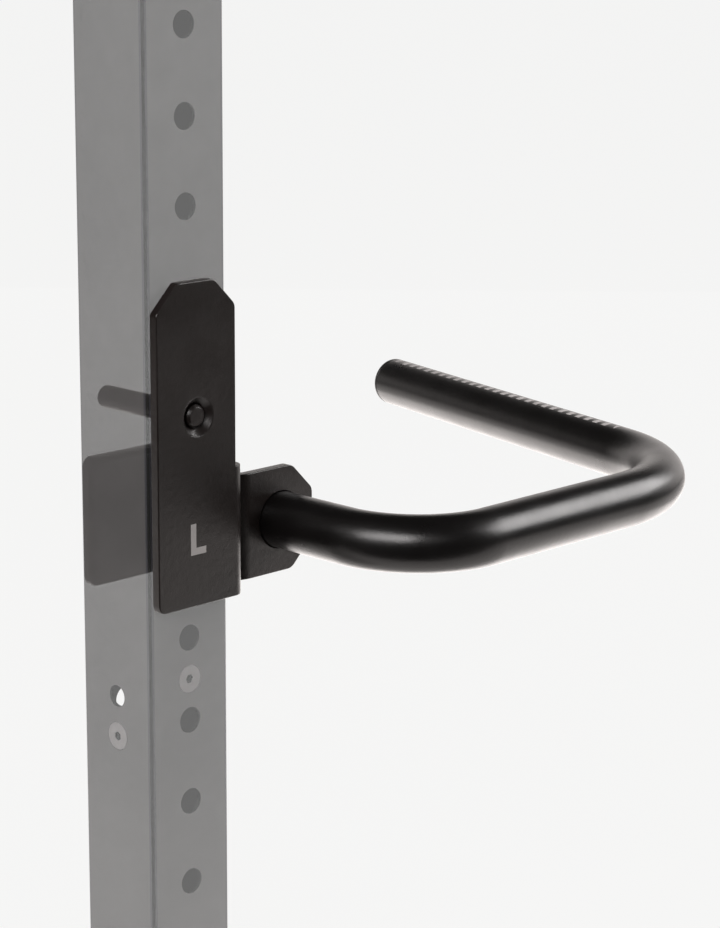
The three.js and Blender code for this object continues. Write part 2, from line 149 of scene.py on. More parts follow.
def filleted(corners, count=8):
    """An outline through (x, y, fillet radius) corners."""
    points = []
    for i, (x, y, radius) in enumerate(corners):
        here = Vector((x, y))
        back = (Vector(corners[i - 1][:2]) - here).normalized()
        ahead = (Vector(corners[(i + 1) % len(corners)][:2]) - here).normalized()
        if radius <= 0:
            points.append((x, y))
            continue
        half = back.angle(ahead) / 2
        centre = here + (back + ahead).normalized() * (radius / math.sin(half))
        first = here + back * (radius / math.tan(half)) - centre
        last = here + ahead * (radius / math.tan(half)) - centre
        start = math.atan2(first.y, first.x)
        turn = math.atan2(first.cross(last), first.dot(last))
        for k in range(count + 1):
            angle = start + turn * k / count
            points.append((centre.x + radius * math.cos(angle), centre.y + radius * math.sin(angle)))
    return points


def signed_area(loop):
    return sum(a[0] * b[1] - b[0] * a[1] for a, b in zip(loop, loop[1:] + loop[:1])) / 2


def plate(outer, holes, thickness, edge, rings=2):
    """A flat plate about z = 0 from an outline and holes, its edges rounded by the radius edge."""
    curve = bpy.data.curves.new("outline", "CURVE")
    curve.dimensions = "2D"
    curve.fill_mode = "BOTH"
    curve.extrude = thickness / 2 - edge
    curve.bevel_depth = edge
    curve.bevel_resolution = rings
    curve.offset = -edge
    loops = [outer if signed_area(outer) > 0 else outer[::-1]]
    loops += [hole if signed_area(hole) < 0 else hole[::-1] for hole in holes]
    for loop in loops:
        spline = curve.splines.new("POLY")
        spline.points.add(len(loop) - 1)
        for point, (x, y) in zip(spline.points, loop):
            point.co = (x, y, 0, 1)
        spline.use_cyclic_u = True
    holder = bpy.data.objects.new("outline", curve)
    bpy.context.scene.collection.objects.link(holder)
    graph = bpy.context.evaluated_depsgraph_get()
    mesh = bpy.data.meshes.new_from_object(holder.evaluated_get(graph))
    bpy.data.objects.remove(holder)
    bpy.data.curves.remove(curve)
    work = bmesh.new()
    work.from_mesh(mesh)
    bmesh.ops.remove_doubles(work, verts=work.verts, dist=2e-6)
    bmesh.ops.recalc_face_normals(work, faces=work.faces)
    work.to_mesh(mesh)
    work.free()
    return mesh


def sliced(mesh, positions, axis):
    """Cuts a mesh's faces at positions along an axis, so that it can be bent there."""
    work = bmesh.new()
    work.from_mesh(mesh)
    normal = Vector((0, 0, 0))
    normal[axis] = 1
    for at in positions:
        everything = work.verts[:] + work.edges[:] + work.faces[:]
        bmesh.ops.bisect_plane(work, geom=everything, dist=1e-7, plane_co=normal * at, plane_no=normal)
    work.to_mesh(mesh)
    work.free()
    return mesh


def turned(profile, count=64):
    """A solid of revolution about Z from (radius, z) points."""
    points, faces, rows = [], [], []
    for radius, z in profile:
        if radius < 1e-9:
            rows.append([len(points)])
            points.append((0, 0, z))
            continue
        rows.append(list(range(len(points), len(points) + count)))
        for i in range(count):
            angle = 2 * math.pi * i / count
            points.append((radius * math.cos(angle), radius * math.sin(angle), z))
    for low, high in zip(rows, rows[1:]):
        for i in range(count):
            j = (i + 1) % count
            corner = [low[i % len(low)], low[j % len(low)], high[j % len(high)], high[i % len(high)]]
            face = list(dict.fromkeys(corner))
            if len(face) > 2:
                faces.append(face)
    return from_lists(points, faces)


def swept(path, section, closed=False, caps=True):
    """Carries a closed section along a path of (point, side, up) frames; section(i) gives its offsets."""
    points, faces = [], []
    width = 0
    for i, (centre, side, up) in enumerate(path):
        ring = section(i)
        width = len(ring)
        points += [centre + side * a + up * b for a, b in ring]
    rows = len(path)
    for i in range(rows if closed else rows - 1):
        for j in range(width):
            k = (j + 1) % width
            n = (i + 1) % rows
            faces.append((i * width + j, i * width + k, n * width + k, n * width + j))
    if caps and not closed:
        faces.append(tuple(range(width)))
        faces.append(tuple((rows - 1) * width + j for j in range(width)))
    return from_lists(points, faces)


def in_front_plane(mesh, y):
    """Stands a flat plate up, facing the front, with its middle at y; its own y becomes z."""
    stand = Matrix(((1, 0, 0, 0), (0, 0, -1, y), (0, 1, 0, 0), (0, 0, 0, 1)))
    return moved(mesh, stand)


def in_side_plane(mesh, x):
    """Stands a flat plate up, facing +X, with its middle at x; its own x becomes y."""
    stand = Matrix(((0, 0, 1, x), (1, 0, 0, 0), (0, 1, 0, 0), (0, 0, 0, 1)))
    return moved(mesh, stand)


# ------------------------------------------------------------------ materials


class Paint:
    """A Principled material with helpers for procedural detail in object space."""

    def __init__(self, name, color, roughness, metallic=0.0, specular=0.5):
        self.material = bpy.data.materials.new(name)
        self.material.use_nodes = True
        self.tree = self.material.node_tree
        self.shader = self.tree.nodes["Principled BSDF"]
        self.shader.inputs["Base Color"].default_value = (*color, 1)
        self.shader.inputs["Roughness"].default_value = roughness
        self.shader.inputs["Metallic"].default_value = metallic
        self.shader.inputs["Specular IOR Level"].default_value = specular
        self.place = self.add("ShaderNodeTexCoord").outputs["Object"]
        self.color = color
        self.height = None

    def add(self, kind, **values):
        node = self.tree.nodes.new(kind)
        for key, value in values.items():
            setattr(node, key, value)
        return node

    def join(self, source, target):
        self.tree.links.new(source, target)

    def noise(self, scale, detail=2.0, rough=0.5, squash=None):
        node = self.add("ShaderNodeTexNoise")
        node.inputs["Scale"].default_value = scale
        node.inputs["Detail"].default_value = detail
        node.inputs["Roughness"].default_value = rough
        place = self.place
        if squash:
            mapping = self.add("ShaderNodeMapping")
            mapping.inputs["Scale"].default_value = squash
            self.join(self.place, mapping.inputs["Vector"])
            place = mapping.outputs["Vector"]
        self.join(place, node.inputs["Vector"])
        return node.outputs["Fac"]

    def spread(self, value, low, high, start=0.3, end=0.7):
        """Maps a value between start and end onto low to high."""
        node = self.add("ShaderNodeMapRange")
        node.inputs["From Min"].default_value = start
        node.inputs["From Max"].default_value = end
        node.inputs["To Min"].default_value = low
        node.inputs["To Max"].default_value = high
        self.join(value, node.inputs["Value"])
        return node.outputs["Result"]

    def mottle(self, value, low, high):
        """Varies the colour between low and high times its own by a 0 to 1 value."""
        node = self.add("ShaderNodeMix", data_type="RGBA")
        node.inputs["A"].default_value = (*[min(c * low, 1) for c in self.color], 1)
        node.inputs["B"].default_value = (*[min(c * high, 1) for c in self.color], 1)
        self.join(self.spread(value, 0, 1), node.inputs["Factor"])
        self.join(node.outputs["Result"], self.shader.inputs["Base Color"])
        return self

    def gloss(self, value, low, high):
        self.join(self.spread(value, low, high), self.shader.inputs["Roughness"])
        return self

    def bump(self, value, distance, strength=1.0):
        node = self.add("ShaderNodeBump")
        node.inputs["Distance"].default_value = distance
        node.inputs["Strength"].default_value = strength
        self.join(value, node.inputs["Height"])
        if self.height is not None:
            self.join(self.height, node.inputs["Normal"])
        self.height = node.outputs["Normal"]
        self.join(self.height, self.shader.inputs["Normal"])
        return self

    def ghosted(self, cover):
        """Lets only the first surface of a line of sight show, covering what is behind it by a share."""
        path = self.add("ShaderNodeLightPath")
        first = self.add("ShaderNodeMath", operation="LESS_THAN")
        first.inputs[1].default_value = 0.5
        self.join(path.outputs["Transparent Depth"], first.inputs[0])
        share = self.add("ShaderNodeMath", operation="MULTIPLY")
        share.inputs[1].default_value = cover
        self.join(first.outputs[0], share.inputs[0])
        self.join(share.outputs[0], self.shader.inputs["Alpha"])
        return self


GHOST_COVER = 0.82
INSIDE_COVER = 0.85


def powder_coat(name, color, low, high, grain, depth, specular=0.5):
    paint = Paint(name, color, low, specular=specular)
    paint.mottle(paint.noise(9, 4, 0.6), 0.85, 1.2)
    paint.gloss(paint.noise(35, 3, 0.6), low, high)
    paint.bump(paint.noise(grain, 2, 0.6), depth)
    paint.bump(paint.noise(grain * 0.18, 2, 0.5), depth * 1.5)
    return paint


plate_coat = powder_coat("plate_powder_coat", (0.0085, 0.0062, 0.0055), 0.28, 0.36, 1500, 0.00009).material
tube_coat = powder_coat("tube_powder_coat", (0.0036, 0.0031, 0.0030), 0.27, 0.34, 1900, 0.00004).material
weld_coat = powder_coat("weld_powder_coat", (0.012, 0.011, 0.0105), 0.30, 0.42, 1300, 0.00005).material
post_paint = powder_coat("upright_paint", (0.079, 0.077, 0.0765), 0.55, 0.68, 1200, 0.00003, 0.35)
post_paint.ghosted(GHOST_COVER)
# The tube's inside is much darker than its outside: painted shade for the inside and what shows through the
# holes, not a different paint.
inside_shade_paint = powder_coat("upright_inside_shade", (0.012, 0.0125, 0.012), 0.7, 0.85, 700, 0.00004, 0.2)
inside_shade_paint.ghosted(INSIDE_COVER)
# The corners' darker colour is painted shade: the rounded corners look darker under the lights, not a
# different paint.
corner_shade_paint = powder_coat("upright_corner_shade", (0.042, 0.042, 0.048), 0.4, 0.5, 1200, 0.00003, 0.35)
corner_shade_paint.ghosted(GHOST_COVER)
screw_zinc = powder_coat("zinc_plate", (0.19, 0.183, 0.183), 0.5, 0.62, 900, 0.00001, 0.4)
screw_zinc.ghosted(GHOST_COVER)
# The socket's dark colour is painted shade in the recess of the hex socket.
socket_shade_paint = powder_coat("socket_shade_paint", (0.03, 0.03, 0.03), 0.6, 0.7, 900, 0.00002, 0.3)
socket_shade_paint.ghosted(INSIDE_COVER)
cap_plastic = powder_coat("cap_plastic", (0.011, 0.011, 0.0115), 0.38, 0.5, 800, 0.00003).material
liner_plastic = powder_coat("liner_plastic", (0.016, 0.016, 0.0165), 0.55, 0.7, 500, 0.00004).material
mark_paint = powder_coat("mark_paint", (0.27, 0.26, 0.255), 0.5, 0.62, 1500, 0.00003).material
scale_paint = powder_coat("scale_paint", (0.5, 0.48, 0.47), 0.5, 0.62, 1500, 0.00003).material

# ------------------------------------------------------------------ upright


def post_walls():
    """The upright's four flat walls with their holes, outside and inside."""
    z0, z1 = POST_LO.z, POST_HI.z
    heights = [HOLE_FIRST_Z + HOLE_PITCH * n for n in range(HOLE_COUNT)]
    heights = [z for z in heights if abs(z - PIN_Z) > HOLE_PITCH] + [PIN_Z]
    front = [circle(0, z, HOLE_R) for z in heights]
    side = [circle(0, SIDE_HOLE_Z, SIDE_HOLE_R)]
    screw_mouth = (FRONT_SCREW_HI.x - FRONT_SCREW_LO.x) / 2 + 0.1 * MM
    front_screw = circle(0, (FRONT_SCREW_LO.z + FRONT_SCREW_HI.z) / 2, screw_mouth)
    side_screw = circle(0, (SIDE_SCREW_LO.z + SIDE_SCREW_HI.z) / 2, screw_mouth)
    outline = [(-POST_FLAT, z0), (POST_FLAT, z0), (POST_FLAT, z1), (-POST_FLAT, z1)]
    middle = HALF_POST - POST_WALL / 2
    walls = [
        (in_front_plane, -middle, front + [front_screw]),
        (in_front_plane, middle, front),
        (in_side_plane, -middle, side + [side_screw]),
        (in_side_plane, middle, side),
    ]
    return [stand(open_plate(outline, holes, POST_WALL), at) for stand, at, holes in walls]


def open_plate(outline, holes, thickness):
    """Both faces of a wall and the sides of its holes, with a small round at each hole's edge."""
    round_edge = 0.25 * MM
    mesh = plate(outline, holes, thickness, round_edge)
    work = bmesh.new()
    work.from_mesh(mesh)
    left = min(x for x, _ in outline)
    right = max(x for x, _ in outline)
    for vert in work.verts:
        if vert.co.x < left + 2 * round_edge:
            vert.co.x = left
            vert.co.z = math.copysign(thickness / 2, vert.co.z) if abs(vert.co.z) > 1e-6 else 0
        if vert.co.x > right - 2 * round_edge:
            vert.co.x = right
            vert.co.z = math.copysign(thickness / 2, vert.co.z) if abs(vert.co.z) > 1e-6 else 0
    bmesh.ops.remove_doubles(work, verts=work.verts, dist=2e-6)
    bmesh.ops.dissolve_degenerate(work, edges=work.edges, dist=1e-6)
    doomed = [f for f in work.faces if abs(f.normal.x) > 0.999 and (
        abs(f.calc_center_median().x - left) < 1e-5 or abs(f.calc_center_median().x - right) < 1e-5)]
    bmesh.ops.delete(work, geom=doomed, context="FACES")
    work.to_mesh(mesh)
    work.free()
    return mesh


def post_corners():
    """The round corners that join the walls, and their ends."""
    meshes = []
    z0, z1 = POST_LO.z, POST_HI.z
    for quarter, (sx, sy) in enumerate(((1, 1), (-1, 1), (-1, -1), (1, -1))):
        centre = (sx * POST_FLAT, sy * POST_FLAT)
        outer = arc(centre, POST_CORNER_R, 90 * quarter, 90 * quarter + 90, 10)
        points = [(x, y, z) for z in (z0, z1) for x, y in outer]
        points += [(*centre, z0), (*centre, z1)]
        count = len(outer)
        faces = [(i, i + 1, count + i + 1, count + i) for i in range(count - 1)]
        faces += [(i + 1, i, 2 * count) for i in range(count - 1)]
        faces += [(count + i, count + i + 1, 2 * count + 1) for i in range(count - 1)]
        mesh = bpy.data.meshes.new("corner")
        mesh.from_pydata(points, [], faces)
        meshes.append(mesh)
    return meshes


SKIN = 0.35 * MM  # faces deeper than this below the outside get the tube's inside colour, a dark painted shade
CORNER_SHADE_BAND = 2.9 * MM  # width of the darker corner colour, a painted shade on the rounded corners, from the outside

post_mesh = joined(post_walls() + post_corners())
post = link("upright", post_mesh, post_paint.material, "upright", ["upright_tube"], 50)
# Slot 1 is the dark painted shade of the tube's inside.
post.data.materials.append(inside_shade_paint.material)
# Slot 2 is the painted shade of the rounded corners.
post.data.materials.append(corner_shade_paint.material)
for face in post.data.polygons:
    near, far = sorted((abs(face.center.x), abs(face.center.y)))
    # Faces inside the tube get the dark painted shade.
    if far < HALF_POST - SKIN:
        face.material_index = 1
    # Faces on the rounded corners get the darker painted shade.
    elif near > HALF_POST - CORNER_SHADE_BAND:
        face.material_index = 2


def rounded_square(half, radius):
    return filleted([(x * half, y * half, radius) for x, y in ((-1, -1), (1, -1), (1, 1), (-1, 1))])


def end_plug(outside, depth, up):
    """A moulded end cap from its outside face: a head with a soft edge, and a hollow square spigot."""
    head, sunk = 3 * MM, 0.6 * MM
    head_mesh = plate(rounded_square(HALF_POST, POST_CORNER_R), [], head, 0.7 * MM, 3)
    reach = depth - head + sunk
    half = HALF_POST - POST_WALL - 0.4 * MM
    spigot = plate(rounded_square(half, 1 * MM), [rounded_square(half - 2.5 * MM, 0.6 * MM)], reach, 0.4 * MM)
    return joined([
        moved(head_mesh, Matrix.Translation((0, 0, outside + up * head / 2))),
        moved(spigot, Matrix.Translation((0, 0, outside + up * (head - sunk + reach / 2)))),
    ])


bottom_plug = end_plug(CAP_LO.z, CAP_HI.z - CAP_LO.z, 1)
link("bottom_plug", bottom_plug, cap_plastic, "upright", ["bottom_cap"])
top_plug = end_plug(TOP_HI.z, TOP_HI.z - TOP_LO.z, -1)
link("top_plug", top_plug, cap_plastic, "upright", ["top_cap"])


def screw_meshes():
    """A countersunk screw's head along +Z from its face at 0, and the inside of its socket, which is given a
    dark painted shade.
    """
    head, socket, rim, depth = 8.25 * MM, 2.9 * MM, 0.8 * MM, 3.1 * MM
    disc = plate(circle(0, 0, head - 0.1 * MM, 96), [circle(0, 0, socket, 6)], rim, 0.15 * MM)
    face = moved(disc, Matrix.Translation((0, 0, rim / 2)))
    cone = turned([(head - 0.3 * MM, rim - 0.1 * MM), (5.5 * MM, depth), (0, depth)])
    well = from_lists(
        [(x, y, z) for z in (0.5 * MM, 2.6 * MM) for x, y in circle(0, 0, socket + 0.05 * MM, 6)],
        [(i, (i + 1) % 6, 6 + (i + 1) % 6, 6 + i) for i in range(6)] + [(6, 7, 8, 9, 10, 11)],
    )
    return joined([face, cone]), well


def nut_mesh():
    """A blind nut along +Z from its flange at 0, without its hidden bore."""
    flange, body, soft = 9 * MM, 5.75 * MM, 0.4 * MM
    thick, length = 1.5 * MM, 11 * MM
    return turned([
        (0, 0), (flange - soft, 0), (flange, soft), (flange, thick - soft), (flange - soft, thick),
        (body + 0.15 * MM, thick), (body, thick + 0.7 * MM),
        (body, length - soft), (body - 0.35 * MM, length), (0, length),
    ])


def along_y(y, z):
    """Turns a piece made along +Z to run along +Y from y."""
    return Matrix.Translation((0, y, z)) @ Matrix.Rotation(-math.pi / 2, 4, "X")


def along_x(x, z):
    """Turns a piece made along +Z to run along +X from x."""
    return Matrix.Translation((x, 0, z)) @ Matrix.Rotation(math.pi / 2, 4, "Y")


front_z = (FRONT_SCREW_LO.z + FRONT_SCREW_HI.z) / 2
side_z = (SIDE_SCREW_LO.z + SIDE_SCREW_HI.z) / 2
for side, place, nut_place in (
    ("front", along_y(FRONT_SCREW_LO.y, front_z), along_y(FRONT_NUT_LO.y, front_z)),
    ("side", along_x(SIDE_SCREW_LO.x, side_z), along_x(SIDE_NUT_LO.x, side_z)),
):
    steel, well = screw_meshes()
    nut = moved(nut_mesh(), nut_place)
    zinc = screw_zinc.material
    link(f"{side}_bolt", moved(steel, place), zinc, "upright", [f"{side}_screw"])
    # The socket's inside takes the dark painted shade.
    link(f"{side}_bolt_socket", moved(well, place), socket_shade_paint.material, "upright")
    link(f"{side}_rivet_nut", nut, zinc, "upright", [f"{side}_blind_nut"])

# ------------------------------------------------------------------ saddle plate

BEND_X = SADDLE_HI.x - SADDLE_BEND_R
BEND_Y = SADDLE_HI.y - SADDLE_BEND_R
SADDLE_MID_R = SADDLE_BEND_R - PLATE_T / 2
SADDLE_BEND_LENGTH = SADDLE_MID_R * math.pi / 2
FRONT_MID = SADDLE_LO.y + PLATE_T / 2
SIDE_MID = SADDLE_HI.x - PLATE_T / 2
SIDE_START = SADDLE_BEND_LENGTH
SIDE_END = SIDE_START + 2 * BEND_Y
REAR_START = SIDE_END + SADDLE_BEND_LENGTH
REAR_END = 20.8 * MM
FRONT_CHAMFER = 16 * MM
SINK_R = 11 * MM
PIN_HOLE_R = PIN_R + 0.3 * MM


def saddle_point(s, z, n):
    """Where a point of the flat pattern goes: s along it from the first bend, n out of its outer face."""
    if z > WING_TOP + 0.01 * MM or s <= 0:
        return Vector((BEND_X + s, FRONT_MID - n, z))
    radius = SADDLE_MID_R + n
    if s < SIDE_START:
        angle = -math.pi / 2 + s / SADDLE_MID_R
        return Vector((BEND_X + radius * math.cos(angle), -BEND_Y + radius * math.sin(angle), z))
    if s <= SIDE_END:
        return Vector((SIDE_MID + n, -BEND_Y + s - SIDE_START, z))
    if s < REAR_START:
        angle = (s - SIDE_END) / SADDLE_MID_R
        return Vector((BEND_X + radius * math.cos(angle), BEND_Y + radius * math.sin(angle), z))
    return Vector((BEND_X - (s - REAR_START), -FRONT_MID + n, z))


def saddle_mesh():
    left = SADDLE_LO.x - BEND_X
    end = REAR_START + BEND_X + REAR_END
    bottom, top = SADDLE_LO.z, SADDLE_HI.z
    outer = filleted([
        (left, bottom, 5 * MM), (end, bottom, 6 * MM), (end, WING_TOP, 6 * MM), (0, WING_TOP, 0),
        (0, top - FRONT_CHAMFER, 6 * MM), (-FRONT_CHAMFER, top, 7 * MM),
        (left + FRONT_CHAMFER, top, 4 * MM), (left, top - FRONT_CHAMFER, 4 * MM),
    ])
    flat = plate(outer, [circle(-BEND_X, PIN_Z, SINK_R + 0.15 * MM, 96)], PLATE_T, 0.7 * MM, 3)
    cuts = [SADDLE_BEND_LENGTH * i / 14 for i in range(15)]
    cuts += [SIDE_END + SADDLE_BEND_LENGTH * i / 14 for i in range(15)]
    sliced(flat, cuts, 0)
    for vert in flat.vertices:
        vert.co = saddle_point(vert.co.x, vert.co.y, vert.co.z)
    sink_floor = SINK_R - PIN_HOLE_R
    buried, lip, far = SINK_R + 0.6 * MM, 0.75 * MM, PLATE_T - 0.1 * MM
    sink = turned([
        (buried, lip), (SINK_R + 0.35 * MM, 0.06 * MM), (SINK_R + 0.05 * MM, 0.12 * MM),
        (PIN_HOLE_R + 0.25 * MM, sink_floor - 0.2 * MM), (PIN_HOLE_R, sink_floor + 0.15 * MM),
        (PIN_HOLE_R, far), (buried, far), (buried, lip),
    ], 96)
    return joined([flat, moved(sink, along_y(SADDLE_LO.y, PIN_Z))])


link("saddle", saddle_mesh(), plate_coat, "handle", ["saddle_plate"], 32)


def pin_mesh():
    """The pin along +Z from 0, chamfered at both ends, with soft edges."""
    length, chamfer = PIN_HI.y - PIN_LO.y, 1.55 * MM
    inner = PIN_R - chamfer
    return turned([
        (0, 0), (inner - 0.2 * MM, 0), (inner, 0.06 * MM),
        (PIN_R - 0.2 * MM, chamfer - 0.1 * MM), (PIN_R, chamfer + 0.3 * MM),
        (PIN_R, length - chamfer - 0.3 * MM), (PIN_R - 0.25 * MM, length - chamfer + 0.2 * MM),
        (inner, length - 0.15 * MM), (inner - 0.5 * MM, length), (0, length),
    ])


pin = moved(pin_mesh(), along_y(PIN_LO.y, PIN_Z))
link("pin", pin, plate_coat, "handle", ["locating_pin"], 60)


def bead(centres, sides, ups, width, height, ripple, closed=False):
    """A weld bead along a line: a low round ridge with scales every ripple."""
    lengths = [0]
    for a, b in zip(centres, centres[1:]):
        lengths.append(lengths[-1] + (b - a).length)
    half = [math.pi * i / 10 for i in range(11)]

    def section(i):
        phase = (lengths[i] / ripple) % 1
        scale = 0.9 + 0.1 * math.sqrt(max(0, 1 - phase * phase * 0.9))
        return [(width * scale * math.cos(a), height * scale * math.sin(a)) for a in half]

    return swept(list(zip(centres, sides, ups)), section, closed, not closed)


def ring_bead(x, y, z, radius, width, height, ripple):
    """A weld bead around a round bar along Y, in the corner behind the plate that it goes through."""
    count = 220
    back = Vector((0, 1, 0))
    centres, sides, ups = [], [], []
    for i in range(count):
        angle = 2 * math.pi * i / count
        out = Vector((math.cos(angle), 0, math.sin(angle)))
        centres.append(Vector((x, y, z)) + out * radius)
        sides.append((out - back).normalized())
        ups.append((out + back).normalized())
    return bead(centres, sides, ups, width, height, ripple, True)


RING_LIFT = 0.2 * MM  # of a ring bead's middle from its plate

pin_ring = ring_bead(0, PIN_WELD_LO.y + RING_LIFT, PIN_Z, PIN_R + 0.3 * MM, 1.5 * MM, 1.1 * MM, 2.2 * MM)
link("pin_bead", pin_ring, weld_coat, "handle", ["pin_weld"], 60)

# ------------------------------------------------------------------ liners


def pad(name, node, low, high, corners, holes):
    """A liner that fills the thickness between two of its CAD box's corners."""
    flat = plate(filleted(corners, 5), holes, high.y - low.y, 0.4 * MM)
    link(name, in_front_plane(flat, (low.y + high.y) / 2), liner_plastic, "handle", [node])


lo, hi = FRONT_LINER_LO, FRONT_LINER_HI
pad("front_pad", "front_liner", lo, hi, [
    (lo.x, lo.z, 5 * MM), (hi.x, lo.z, 0.6 * MM),
    (hi.x, hi.z - FRONT_CHAMFER, 5 * MM), (hi.x - FRONT_CHAMFER, hi.z, 5 * MM),
    (lo.x + FRONT_CHAMFER, hi.z, 5 * MM), (lo.x, hi.z - FRONT_CHAMFER, 5 * MM),
], [circle(0, PIN_Z, 10.4 * MM)])
lo, hi = REAR_LINER_LO, REAR_LINER_HI
rear_corners = [(x, z, 3 * MM) for x, z in ((lo.x, lo.z), (hi.x, lo.z), (hi.x, hi.z), (lo.x, hi.z))]
pad("rear_pad", "rear_liner", lo, hi, rear_corners, [])

# ------------------------------------------------------------------ tube bracket

LEG_X = BRACKET_LO.x + PLATE_T / 2
LEG_BEND_X = BRACKET_LO.x + BRACKET_BEND_R
LEG_BEND_Y = BRACKET_LO.y + BRACKET_BEND_R
BRACKET_MID_R = BRACKET_BEND_R - PLATE_T / 2
BRACKET_BEND_LENGTH = BRACKET_MID_R * math.pi / 2
FLANGE_MID = BRACKET_LO.y + PLATE_T / 2
FLANGE_CHAMFER = 17 * MM


def bracket_point(s, z, n):
    """Where a point of the flat pattern goes: s from the bend's flange end, n out of its front face."""
    if s >= 0:
        return Vector((LEG_BEND_X + s, FLANGE_MID - n, z))
    if s > -BRACKET_BEND_LENGTH:
        angle = -math.pi / 2 + s / BRACKET_MID_R
        radius = BRACKET_MID_R + n
        return Vector((LEG_BEND_X + radius * math.cos(angle), LEG_BEND_Y + radius * math.sin(angle), z))
    return Vector((LEG_X - n, LEG_BEND_Y - BRACKET_BEND_LENGTH - s, z))


def bracket_mesh():
    left = -BRACKET_BEND_LENGTH - (BRACKET_HI.y - LEG_BEND_Y)
    right = BRACKET_HI.x - LEG_BEND_X
    bottom, top = BRACKET_LO.z, BRACKET_HI.z
    outer = filleted([
        (left, bottom, 0.8 * MM),
        (right - FLANGE_CHAMFER, bottom, 8 * MM), (right, bottom + FLANGE_CHAMFER, 7 * MM),
        (right, top - FLANGE_CHAMFER, 7 * MM), (right - FLANGE_CHAMFER, top, 8 * MM),
        (left, top, 0.8 * MM),
    ])
    hole = circle(TUBE_X - LEG_BEND_X, TUBE_Z, TUBE_R + 0.3 * MM, 96)
    flat = plate(outer, [hole], PLATE_T, 0.6 * MM, 3)
    sliced(flat, [-BRACKET_BEND_LENGTH * i / 14 for i in range(15)], 0)
    for vert in flat.vertices:
        vert.co = bracket_point(vert.co.x, vert.co.y, vert.co.z)
    return flat


link("bracket", bracket_mesh(), plate_coat, "handle", ["tube_bracket"], 32)


def straight_bead(start, end, side, up, width, height):
    count = int((end - start).length / (0.22 * MM))
    centres = [start.lerp(end, i / count) for i in range(count + 1)]
    return bead(centres, [side] * (count + 1), [up] * (count + 1), width, height, 2.6 * MM)


def corner_bead(node, start, end, outward, size):
    """A fillet weld in the corner between the wing's face and the leg's edge, from (y, z) to (y, z)."""
    start, end = (Vector((BRACKET_LO.x, y, z)) for y, z in (start, end))
    away = Vector((1, 0, 0))
    up = (away + outward).normalized()
    side = (away - outward).normalized()
    mesh = straight_bead(start, end, side, up, size * 0.72, size * 0.52)
    link(node.replace("weld", "bead"), mesh, weld_coat, "handle", [node], 60)


INSET = 1 * MM  # of a fillet bead's ends from its CAD weld's ends

for node, up in (("leg_top_weld", 1), ("leg_bottom_weld", -1)):
    lo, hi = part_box(node)
    z = lo.z if up > 0 else hi.z
    corner_bead(node, (lo.y + INSET, z), (hi.y - INSET, z), Vector((0, 0, up)), hi.z - lo.z)
lo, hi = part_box("leg_end_weld")
corner_bead("leg_end_weld", (lo.y, lo.z + INSET), (lo.y, hi.z - INSET), Vector((0, 1, 0)), hi.y - lo.y)

tube_ring_y = TUBE_WELD_LO.y + RING_LIFT
tube_ring = ring_bead(TUBE_X, tube_ring_y, TUBE_Z, TUBE_R + 0.6 * MM, 2.1 * MM, 1.5 * MM, 3.2 * MM)
link("tube_bead", tube_ring, weld_coat, "handle", ["tube_weld"], 60)

# ------------------------------------------------------------------ handle tube

STUB_LENGTH = 56 * MM  # in front of the flange
STUB_BACK = 3 * MM  # behind it
BEND_1_R = 57 * MM
BEND_1_ANGLE = 90
RUN_LENGTH = 125 * MM
BEND_2_R = 105 * MM
BEND_2_ANGLE = 76.3
GRIP_LENGTH = 284 * MM
END_HEAD = 2.8 * MM
TUBE_WALL = 3 * MM
TUBE_STEP = 12 * MM
UP = Vector((0, 0, 1))


def along(heading):
    return Vector((math.cos(heading), math.sin(heading), 0))


def across(heading):
    return Vector((-math.sin(heading), math.cos(heading), 0))


def tube_line():
    """The tube's centre line as (point, heading), and where its grip starts."""
    point = Vector((TUBE_X, BRACKET_LO.y + PLATE_T + STUB_BACK, TUBE_Z))
    heading, made = -math.pi / 2, []

    def straight(distance):
        nonlocal point
        count = max(2, int(distance / TUBE_STEP))
        for i in range(count):
            made.append((point + along(heading) * (distance * i / count), heading))
        point = point + along(heading) * distance

    def bend(radius, degrees):
        nonlocal point, heading
        turn = math.radians(degrees)
        count = int(degrees / 2)
        centre = point + across(heading) * radius
        for i in range(count):
            angle = heading + turn * i / count
            made.append((centre - across(angle) * radius, angle))
        heading += turn
        point = centre - across(heading) * radius

    straight(STUB_LENGTH + PLATE_T + STUB_BACK)
    bend(BEND_1_R, BEND_1_ANGLE)
    straight(RUN_LENGTH)
    bend(BEND_2_R, BEND_2_ANGLE)
    grip_start = point.copy()
    straight(GRIP_LENGTH - END_HEAD)
    made.append((point.copy(), heading))
    return made, grip_start, heading


line, grip_start, grip_heading = tube_line()


def tube_mesh():
    """The tube's wall: out along its outside with soft ends, and back along its inside."""
    sides, edge, bore = 72, 0.4 * MM, TUBE_R - TUBE_WALL
    start, start_heading = line[0]
    end, end_heading = line[-1]
    rounding = [(0, bore), (0, TUBE_R - edge), (edge * 0.3, TUBE_R - edge * 0.3), (edge, TUBE_R)]
    stations = [(start + along(start_heading) * inward, start_heading, r) for inward, r in rounding]
    stations += [(p, h, TUBE_R) for p, h in line[1:-1]]
    stations += [(end - along(end_heading) * inward, end_heading, r) for inward, r in reversed(rounding)]
    stations += [(p, h, bore) for p, h in reversed(line[1:-1])]
    frames = [(p, across(h), UP) for p, h, _ in stations]
    return swept(frames, lambda i: circle(0, 0, stations[i][2], sides), True)


link("handle", tube_mesh(), tube_coat, "handle", ["handle_tube"], 40)


